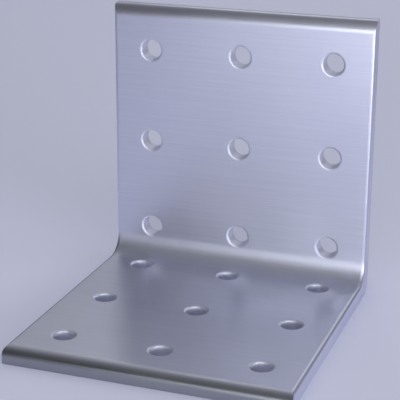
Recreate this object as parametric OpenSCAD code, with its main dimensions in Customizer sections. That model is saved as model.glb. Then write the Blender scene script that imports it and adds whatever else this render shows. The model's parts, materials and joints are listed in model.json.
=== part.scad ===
// Angle bracket: one thick metal plate with two leaves at a right angle and a
// grid of plain screw holes in each leaf.
// The base leaf lies flat and the upright leaf stands at the back. X runs along
// the bend, -Y points out of the open side and Z points up. The origin is the
// centre of the footprint, on the underside.

/* [Leaves] */
// Width of both leaves, measured along the bend
leaf_w = 60; // [54:1:90]
// Height of the upright leaf over its outer face
upright_h = 62.5; // [58:0.5:90]
// Depth of the base leaf over its outer face
base_d = 62.5; // [58:0.5:90]
// Thickness of both leaves
plate_t = 3.5; // [2.5:0.1:5]

/* [Bend] */
// Radius of the hollow on the inside of the bend
bend_in_r = 4.6; // [2:0.1:6]
// Radius of the heel on the outside of the bend
bend_out_r = 3; // [1.5:0.1:6]

/* [Edges] */
// Reach of the soft nose at each free end, back along the inner face
nose_reach = 2.8; // [2.4:0.1:4]
// Depth of the soft nose at each free end, through the thickness
nose_depth = 1.9; // [1.6:0.1:2.2]
// Radius of the tip of the nose, where it meets the end face
nose_tip_r = 1.4; // [0.8:0.1:1.5]
// Rounding of the cut sides, on the inner faces
side_edge_r = 0.8; // [0.4:0.1:1.9]
// Rounding of every edge on the outer faces
back_edge_r = 0.3; // [0.2:0.1:0.6]

/* [Screw holes] */
// Bore of every screw hole
hole_d = 4.5; // [3.5:0.1:6.5]
// Spacing of neighbouring holes, along the bend and away from it
hole_pitch = 21; // [16:0.5:21.5]
// Distance of the first row from the outer face of the other leaf
first_row = 10.5; // [10:0.1:14]
// Least metal between the bore of a hole and the edges of its leaf
hole_edge = 4.5; // [3.5:0.1:5]
// Rounding of the hole mouths on the inner faces
mouth_r = 0.5; // [0.2:0.1:0.8]
// Rounding of the hole mouths on the outer faces
back_mouth_r = 0.2; // [0.1:0.1:0.5]

/* [Hidden] */
$fn = 96;
// Least distance of a hole's centre from the edges of its leaf
hole_inset = hole_d / 2 + hole_edge;
// Overshoot of every cutter past the face it leaves
slack = 1;
// Flat planes that bound the two leaves
outer_y = base_d / 2;
inner_y = outer_y - plate_t;
front_y = outer_y - base_d;
inner_z = plate_t;

// What falls away where a square corner at the origin becomes an arc of radius
// r. The metal lies towards +X and +Y of the corner.
module corner_waste(r) {
    difference() {
        translate([-slack, -slack]) square(r + slack);
        translate([r, r]) circle(r);
    }
}

// What falls away at a free end. The inner face lies along Y = 0 and the end
// face along X = 0. A flat arc leaves the inner face and runs into a tight arc
// at the tip, which both arcs touch on the line through their centres.
module nose_waste() {
    rise = nose_depth - nose_tip_r;
    run = nose_reach - nose_tip_r;
    flat_r = (run * run + rise * rise) / (2 * rise) + nose_tip_r;
    lean = atan2(run, flat_r - nose_depth);
    beyond = flat_r + slack;
    difference() {
        translate([-slack, -slack]) square([nose_reach + slack, nose_depth + slack]);
        translate([nose_tip_r, nose_depth]) circle(nose_tip_r);
        translate([nose_reach, flat_r]) intersection() {
            circle(flat_r);
            polygon([[0, 0], [-beyond * sin(lean), -beyond * cos(lean)], [0, -beyond]]);
        }
    }
}

// The space between the leaves, with the hollow of the bend as its corner.
// Y runs across and Z up, as in section().
module open_side() {
    difference() {
        translate([front_y - slack, inner_z])
            square([base_d - plate_t + slack, upright_h - plate_t + slack]);
        translate([inner_y, inner_z]) mirror([1, 0]) corner_waste(bend_in_r);
    }
}

// Section of the bracket: both leaves, the bend and the rounded free ends.
module section() {
    difference() {
        translate([front_y, 0]) square([base_d, upright_h]);
        open_side();
        translate([outer_y, 0]) mirror([1, 0]) corner_waste(bend_out_r);
        translate([inner_y, upright_h]) rotate(-90) nose_waste();
        translate([outer_y, upright_h]) rotate(180) corner_waste(back_edge_r);
        translate([front_y, inner_z]) mirror([0, 1]) nose_waste();
        translate([front_y, 0]) corner_waste(back_edge_r);
    }
}

// Sweeps a flat shape along one face of both leaves and round the bend between
// them. The shape's X stays X and its Y points away from the open side.
module along_face(face_y, face_z, bend_r) {
    turn_y = face_y - bend_r;
    turn_z = face_z + bend_r;
    translate([0, front_y - slack, face_z]) rotate([-90, 0, 0])
        linear_extrude(turn_y - front_y + slack) children();
    translate([0, turn_y, turn_z]) rotate([0, 90, 0])
        rotate_extrude(angle = 90) translate([bend_r, 0]) mirror([1, -1]) children();
    translate([0, face_y, turn_z])
        linear_extrude(upright_h - turn_z + slack) children();
}

// Waste of the rounded edges along the cut side at -X.
module side_waste() {
    translate([-leaf_w / 2, 0, 0]) {
        along_face(inner_y, inner_z, bend_in_r) corner_waste(side_edge_r);
        along_face(outer_y, 0, bend_out_r) mirror([0, 1]) corner_waste(back_edge_r);
    }
}

// One screw hole with rounded mouths, drilled down from a face at Z = 0.
module screw_hole() {
    translate([0, 0, -plate_t - slack]) cylinder(d = hole_d, h = plate_t + 2 * slack);
    rotate_extrude() translate([hole_d / 2, 0]) mirror([0, 1]) corner_waste(mouth_r);
    rotate_extrude() translate([hole_d / 2, -plate_t]) corner_waste(back_mouth_r);
}

// How many holes go into a length at the pitch, with one on its first end.
function holes_in(length) = floor(length / hole_pitch) + 1;

// Grid of screw holes in a leaf of the given length, centred along X, with its
// rows going towards +Y and the first on Y = 0.
module hole_grid(leaf_l) {
    columns = holes_in(leaf_w - 2 * hole_inset);
    rows = holes_in(leaf_l - first_row - hole_inset);
    first_x = -hole_pitch * (columns - 1) / 2;
    for (column = [0 : columns - 1], row = [0 : rows - 1])
        translate([first_x + column * hole_pitch, row * hole_pitch, 0]) screw_hole();
}

// The whole bracket, one piece of metal.
module bracket() {
    color("lightsteelblue") difference() {
        translate([-leaf_w / 2, 0, 0]) rotate([90, 0, 90]) linear_extrude(leaf_w) section();
        side_waste();
        mirror([1, 0, 0]) side_waste();
        translate([0, inner_y, first_row]) rotate([90, 0, 0]) hole_grid(upright_h);
        translate([0, outer_y - first_row, inner_z]) mirror([0, 1, 0]) hole_grid(base_d);
    }
}

bracket();
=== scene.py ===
import json
from math import radians

import bpy
from mathutils import Matrix, Vector


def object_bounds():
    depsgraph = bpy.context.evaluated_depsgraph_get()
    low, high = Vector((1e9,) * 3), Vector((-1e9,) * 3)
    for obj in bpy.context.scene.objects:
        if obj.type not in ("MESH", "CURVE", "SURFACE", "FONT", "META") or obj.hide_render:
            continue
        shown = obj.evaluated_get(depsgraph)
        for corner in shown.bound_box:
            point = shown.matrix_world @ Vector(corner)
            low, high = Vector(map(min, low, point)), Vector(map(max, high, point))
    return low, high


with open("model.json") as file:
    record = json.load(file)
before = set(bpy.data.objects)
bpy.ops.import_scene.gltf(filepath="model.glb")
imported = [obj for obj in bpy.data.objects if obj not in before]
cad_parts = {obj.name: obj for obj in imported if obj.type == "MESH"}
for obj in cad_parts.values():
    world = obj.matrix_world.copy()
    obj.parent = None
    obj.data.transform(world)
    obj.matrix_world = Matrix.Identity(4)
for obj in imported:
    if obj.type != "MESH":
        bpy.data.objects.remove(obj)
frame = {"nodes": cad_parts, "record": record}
cad_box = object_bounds()

# Bracket: one piece of thick metal plate with two leaves at a right angle, bent
# round a wide inner radius, with its edges eased and eighteen plain screw holes.
# Its faces are brushed along the bend to an even satin, and left clean.
GRAIN_PITCH = 0.00028
GRAIN_LENGTH = 0.022
GRAIN_DETAIL = 3.0
GRAIN_BREAKS = 0.6
GRAIN_DARK = (0.70, 0.715, 0.83, 1)
GRAIN_PALE = (0.76, 0.775, 0.89, 1)
CLOUD_SIZE = 0.018
CLOUD_DETAIL = 2.0
NOISE_LOW = 0.3
NOISE_HIGH = 0.7
SATIN_FINEST = 0.30
SATIN_COARSEST = 0.38
BRUSHED_STRETCH = 0.5
SCRATCH_STRENGTH = 0.25
SCRATCH_DEPTH = 0.00001

bracket = frame["nodes"]["bracket"]
metal = bpy.data.materials.new("brushed_bracket_metal")
metal.use_nodes = True
nodes = metal.node_tree.nodes
links = metal.node_tree.links
shader = nodes["Principled BSDF"]
shader.inputs["Anisotropic"].default_value = BRUSHED_STRETCH

across_grain = nodes.new("ShaderNodeTangent")
across_grain.direction_type = "RADIAL"
across_grain.axis = "X"
links.new(across_grain.outputs["Tangent"], shader.inputs["Tangent"])

place = nodes.new("ShaderNodeTexCoord")
along_bend = nodes.new("ShaderNodeMapping")
along_bend.inputs["Scale"].default_value = (1 / GRAIN_LENGTH, 1 / GRAIN_PITCH, 1 / GRAIN_PITCH)
links.new(place.outputs["Object"], along_bend.inputs["Vector"])
grain = nodes.new("ShaderNodeTexNoise")
grain.inputs["Scale"].default_value = 1.0
grain.inputs["Detail"].default_value = GRAIN_DETAIL
grain.inputs["Roughness"].default_value = GRAIN_BREAKS
links.new(along_bend.outputs["Vector"], grain.inputs["Vector"])

cloud = nodes.new("ShaderNodeTexNoise")
cloud.inputs["Scale"].default_value = 1 / CLOUD_SIZE
cloud.inputs["Detail"].default_value = CLOUD_DETAIL
links.new(place.outputs["Object"], cloud.inputs["Vector"])

grain_colour = nodes.new("ShaderNodeValToRGB")
grain_colour.color_ramp.elements[0].position = NOISE_LOW
grain_colour.color_ramp.elements[0].color = GRAIN_DARK
grain_colour.color_ramp.elements[1].position = NOISE_HIGH
grain_colour.color_ramp.elements[1].color = GRAIN_PALE
links.new(grain.outputs["Fac"], grain_colour.inputs["Fac"])

satin = nodes.new("ShaderNodeMapRange")
satin.inputs["From Min"].default_value = NOISE_LOW
satin.inputs["From Max"].default_value = NOISE_HIGH
satin.inputs["To Min"].default_value = SATIN_FINEST
satin.inputs["To Max"].default_value = SATIN_COARSEST
links.new(cloud.outputs["Fac"], satin.inputs["Value"])

# The walls and mouths of the holes are drilled and left unbrushed, so they
# scatter light where the faces mirror it. Both leaves have the same grid of
# holes, and the distance to the nearest one is measured from it.
mounts = {mount["name"]: mount for mount in frame["record"]["mounts"]}
corner_holes = mounts["base_corner_holes"]["dims"]
HOLE_PITCH = corner_holes["spacing_x_mm"] / 2 / 1000
HOLE_RADIUS = corner_holes["hole_r_mm"] / 1000
MOUTH_RADIUS = 0.0005
UPRIGHT_ROW_Z = mounts["upright_corner_holes"]["pos_m"][2]
BASE_ROW_Y = mounts["base_corner_holes"]["pos_m"][1]
LEAF_SPLIT_Z = 0.006
DRILLED_ROUGHNESS = 0.5
DRILLED_METALLIC = 0.6

split = nodes.new("ShaderNodeSeparateXYZ")
links.new(place.outputs["Object"], split.inputs["Vector"])


def measure(operation, first, second):
    step = nodes.new("ShaderNodeMath")
    step.operation = operation
    for socket, value in zip(step.inputs, (first, second)):
        if isinstance(value, float):
            socket.default_value = value
        else:
            links.new(value, socket)
    return step.outputs["Value"]


up_the_leaf = measure("SUBTRACT", split.outputs["Z"], UPRIGHT_ROW_Z)
along_the_base = measure("SUBTRACT", split.outputs["Y"], BASE_ROW_Y)
on_upright = measure("GREATER_THAN", split.outputs["Z"], LEAF_SPLIT_Z)
which_leaf = nodes.new("ShaderNodeMix")
links.new(on_upright, which_leaf.inputs["Factor"])
links.new(along_the_base, which_leaf.inputs["A"])
links.new(up_the_leaf, which_leaf.inputs["B"])
from_hole = nodes.new("ShaderNodeCombineXYZ")
links.new(measure("PINGPONG", split.outputs["X"], HOLE_PITCH / 2), from_hole.inputs["X"])
links.new(measure("PINGPONG", which_leaf.outputs["Result"], HOLE_PITCH / 2), from_hole.inputs["Y"])
hole_distance = nodes.new("ShaderNodeVectorMath")
hole_distance.operation = "LENGTH"
links.new(from_hole.outputs["Vector"], hole_distance.inputs["Vector"])
drilled = nodes.new("ShaderNodeMapRange")
drilled.interpolation_type = "SMOOTHSTEP"
drilled.inputs["From Min"].default_value = HOLE_RADIUS + MOUTH_RADIUS
drilled.inputs["From Max"].default_value = HOLE_RADIUS + MOUTH_RADIUS / 2
links.new(hole_distance.outputs["Value"], drilled.inputs["Value"])
bare = nodes.new("ShaderNodeMapRange")
bare.inputs["To Min"].default_value = 1.0
bare.inputs["To Max"].default_value = DRILLED_METALLIC
links.new(drilled.outputs["Result"], bare.inputs["Value"])
links.new(bare.outputs["Result"], shader.inputs["Metallic"])
dull = nodes.new("ShaderNodeMix")
dull.inputs["B"].default_value = DRILLED_ROUGHNESS
links.new(drilled.outputs["Result"], dull.inputs["Factor"])
links.new(satin.outputs["Result"], dull.inputs["A"])

# The hollow of the bend is coarser than the faces, as the photo's wide highlight
# there shows. It is measured from the corner where the inner faces would meet.
PLATE_THICKNESS = 0.0035
BACK_Y = cad_box[1][1]
HOLLOW_CORNER = (0.0, BACK_Y - PLATE_THICKNESS, PLATE_THICKNESS)
HOLLOW_START = 0.0058
HOLLOW_FULL = 0.0034
HOLLOW_ROUGHNESS = 0.45

across_section = nodes.new("ShaderNodeCombineXYZ")
links.new(split.outputs["Y"], across_section.inputs["Y"])
links.new(split.outputs["Z"], across_section.inputs["Z"])
corner_distance = nodes.new("ShaderNodeVectorMath")
corner_distance.operation = "DISTANCE"
corner_distance.inputs[1].default_value = HOLLOW_CORNER
links.new(across_section.outputs["Vector"], corner_distance.inputs[0])
hollow = nodes.new("ShaderNodeMapRange")
hollow.interpolation_type = "SMOOTHSTEP"
hollow.inputs["From Min"].default_value = HOLLOW_START
hollow.inputs["From Max"].default_value = HOLLOW_FULL
links.new(corner_distance.outputs["Value"], hollow.inputs["Value"])
coarse = nodes.new("ShaderNodeMix")
coarse.inputs["B"].default_value = HOLLOW_ROUGHNESS
links.new(hollow.outputs["Result"], coarse.inputs["Factor"])
links.new(dull.outputs["Result"], coarse.inputs["A"])
links.new(coarse.outputs["Result"], shader.inputs["Roughness"])

# The base's free end is darker than the faces. That darkness is painted shade: the end stands on
# the floor and mirrors the shade close to it, and its colour is darkened to stand in for that. The
# painted shade starts on the soft nose, a little before the end.
FRONT_Y = cad_box[0][1]
END_SHADE_START = 0.00205
END_SHADE_FULL = 0.00025
END_SHADE_COLOUR = (0.36, 0.375, 0.41, 1)

painted_end_shade = nodes.new("ShaderNodeMapRange")
painted_end_shade.interpolation_type = "SMOOTHSTEP"
painted_end_shade.inputs["From Min"].default_value = FRONT_Y + END_SHADE_START
painted_end_shade.inputs["From Max"].default_value = FRONT_Y + END_SHADE_FULL
links.new(split.outputs["Y"], painted_end_shade.inputs["Value"])
# The grain colour, with the painted shade of the base's free end mixed in.
grain_and_end_shade = nodes.new("ShaderNodeMix")
grain_and_end_shade.data_type = "RGBA"
grain_and_end_shade.inputs["B"].default_value = END_SHADE_COLOUR
links.new(painted_end_shade.outputs["Result"], grain_and_end_shade.inputs["Factor"])
links.new(grain_colour.outputs["Color"], grain_and_end_shade.inputs["A"])
links.new(grain_and_end_shade.outputs["Result"], shader.inputs["Base Color"])

scratch = nodes.new("ShaderNodeBump")
scratch.inputs["Strength"].default_value = SCRATCH_STRENGTH
scratch.inputs["Distance"].default_value = SCRATCH_DEPTH
links.new(grain.outputs["Fac"], scratch.inputs["Height"])
links.new(scratch.outputs["Normal"], shader.inputs["Normal"])
bracket.data.materials.clear()
bracket.data.materials.append(metal)

# Studio sweep: one sheet of pale, faintly blue paper. It lies flat under the
# bracket and curves up far behind it, so that no edge of it shows.
SWEEP_FRONT = -1.2
SWEEP_BACK = 1.5
SWEEP_HALF_WIDTH = 1.6
SWEEP_CURVE = 0.35
SWEEP_TOP = 1.1
SWEEP_STEPS = 24
PAPER_COLOUR = (0.74, 0.75, 0.92, 1)
PAPER_ROUGHNESS = 0.9
PAPER_SHEEN = 0.1

profile = [(SWEEP_FRONT, 0.0)]
for step in range(SWEEP_STEPS + 1):
    turn = Matrix.Rotation(radians(90) * step / SWEEP_STEPS, 2) @ Vector((0.0, -SWEEP_CURVE))
    profile.append((SWEEP_BACK + turn.x, SWEEP_CURVE + turn.y))
profile.append((SWEEP_BACK + SWEEP_CURVE, SWEEP_TOP))
corners = [(side * SWEEP_HALF_WIDTH, y, z) for y, z in profile for side in (-1, 1)]
strips = [(2 * i, 2 * i + 1, 2 * i + 3, 2 * i + 2) for i in range(len(profile) - 1)]
sheet = bpy.data.meshes.new("sweep")
sheet.from_pydata(corners, [], strips)
for strip in sheet.polygons:
    strip.use_smooth = True
sweep = bpy.data.objects.new("sweep", sheet)
bpy.context.collection.objects.link(sweep)

paper = bpy.data.materials.new("pale_paper")
paper.use_nodes = True
paper_nodes = paper.node_tree.nodes
paper_links = paper.node_tree.links
paper_shader = paper_nodes["Principled BSDF"]
paper_shader.inputs["Base Color"].default_value = PAPER_COLOUR
paper_shader.inputs["Roughness"].default_value = PAPER_ROUGHNESS
paper_shader.inputs["Specular IOR Level"].default_value = PAPER_SHEEN

# Whatever looks at the flat paper, straight or by mirroring, sees it a little
# paler than the lamps alone would make it. The bracket still shades it.
PAPER_GLOW = 0.24
GLOW_COLOUR = (0.79, 0.80, 1.0, 1)
GLOW_TOP = 0.12
SHADE_REACH = 0.01
SHADE_SAMPLES = 12

open_sky = paper_nodes.new("ShaderNodeAmbientOcclusion")
open_sky.samples = SHADE_SAMPLES
open_sky.inputs["Distance"].default_value = SHADE_REACH
paper_place = paper_nodes.new("ShaderNodeTexCoord")
paper_height = paper_nodes.new("ShaderNodeSeparateXYZ")
flat_part = paper_nodes.new("ShaderNodeMapRange")
flat_part.inputs["From Max"].default_value = GLOW_TOP
flat_part.inputs["To Min"].default_value = PAPER_GLOW
flat_part.inputs["To Max"].default_value = 0.0
paper_links.new(paper_place.outputs["Object"], paper_height.inputs["Vector"])
paper_links.new(paper_height.outputs["Z"], flat_part.inputs["Value"])
ray = paper_nodes.new("ShaderNodeLightPath")
straight_or_mirrored = paper_nodes.new("ShaderNodeMath")
straight_or_mirrored.operation = "MAXIMUM"
paper_links.new(ray.outputs["Is Camera Ray"], straight_or_mirrored.inputs[0])
paper_links.new(ray.outputs["Is Glossy Ray"], straight_or_mirrored.inputs[1])
seen = paper_nodes.new("ShaderNodeMath")
seen.operation = "MAXIMUM"
paper_links.new(straight_or_mirrored.outputs["Value"], seen.inputs[0])
paper_links.new(ray.outputs["Is Transmission Ray"], seen.inputs[1])
seen_glow = paper_nodes.new("ShaderNodeMath")
seen_glow.operation = "MULTIPLY"
paper_links.new(seen.outputs["Value"], seen_glow.inputs[0])
paper_links.new(flat_part.outputs["Result"], seen_glow.inputs[1])
glow = paper_nodes.new("ShaderNodeMath")
glow.operation = "MULTIPLY"
paper_links.new(seen_glow.outputs["Value"], glow.inputs[0])
paper_links.new(open_sky.outputs["AO"], glow.inputs[1])
paper_shader.inputs["Emission Color"].default_value = GLOW_COLOUR
paper_links.new(glow.outputs["Value"], paper_shader.inputs["Emission Strength"])
sheet.materials.append(paper)

# Studio light: soft boxes around the bracket, all aimed at its middle, and a dim
# even room. Each box is (name, turn from the front towards the right, height
# angle, distance, width and height of the box, watts).
SOFT_BOXES = [
    ("key", 25, 38, 0.8, 0.4, 0.4, 0.8),
    ("front_near", -10, 14, 0.25, 0.12, 0.07, 0.03),
    ("front_low", 5, 7, 0.8, 0.4, 0.18, 1.25),
    ("right_low", 55, 7, 0.8, 0.4, 0.18, 3.0),
    ("front_high", 0, 42, 0.8, 0.5, 0.35, 0.15),
    ("back_left", -140, 45, 0.8, 0.6, 0.5, 0.2),
    ("back", 180, 45, 0.8, 0.6, 0.5, 0.55),
    ("back_low", -160, 28, 0.8, 0.6, 0.25, 0.2),
    ("back_right", 150, 28, 0.8, 0.6, 0.25, 0.35),
    ("overhead", 0, 88, 0.8, 0.8, 0.8, 0.3),
]
AIM_AT = (0, 0, 0.03)
LAMP_COLOUR = (0.95, 0.965, 1.0)
ROOM_LIGHT = 0.06
ROOM_COLOUR = (0.85, 0.88, 1.0, 1)

for name, turn, rise, distance, width, height, watts in SOFT_BOXES:
    lamp = bpy.data.lights.new(name, "AREA")
    lamp.shape = "RECTANGLE"
    lamp.size = width
    lamp.size_y = height
    lamp.energy = watts
    lamp.color = LAMP_COLOUR
    box = bpy.data.objects.new(name, lamp)
    aim = Matrix.Rotation(radians(turn), 4, "Z") @ Matrix.Rotation(radians(90 - rise), 4, "X")
    box.matrix_world = Matrix.Translation(AIM_AT) @ aim @ Matrix.Translation((0, 0, distance))
    box.visible_camera = False
    bpy.context.collection.objects.link(box)

room = bpy.data.worlds.new("room")
room.use_nodes = True
room_light = room.node_tree.nodes["Background"]
room_light.inputs["Color"].default_value = ROOM_COLOUR
room_light.inputs["Strength"].default_value = ROOM_LIGHT
bpy.context.scene.world = room

# Camera: a long lens to the front right of the bracket and a little above it,
# where the photo's hole centres and outline put the photographer's.
CAMERA_AT = (0.08664, -0.24191, 0.11539)
CAMERA_TURN = 19.567
CAMERA_DOWN = 18.741
CAMERA_ROLL = 0.304
LENS = 118.19
SENSOR_WIDTH = 36.0
NEAREST = 0.01

lens = bpy.data.cameras.new("camera")
lens.sensor_width = SENSOR_WIDTH
lens.lens = LENS
lens.clip_start = NEAREST
camera = bpy.data.objects.new("camera", lens)
camera.matrix_world = (
    Matrix.Translation(CAMERA_AT)
    @ Matrix.Rotation(radians(CAMERA_TURN), 4, "Z")
    @ Matrix.Rotation(radians(90 - CAMERA_DOWN), 4, "X")
    @ Matrix.Rotation(radians(CAMERA_ROLL), 4, "Z")
)
bpy.context.collection.objects.link(camera)
bpy.context.scene.camera = camera
bpy.context.scene.view_settings.view_transform = "Standard"
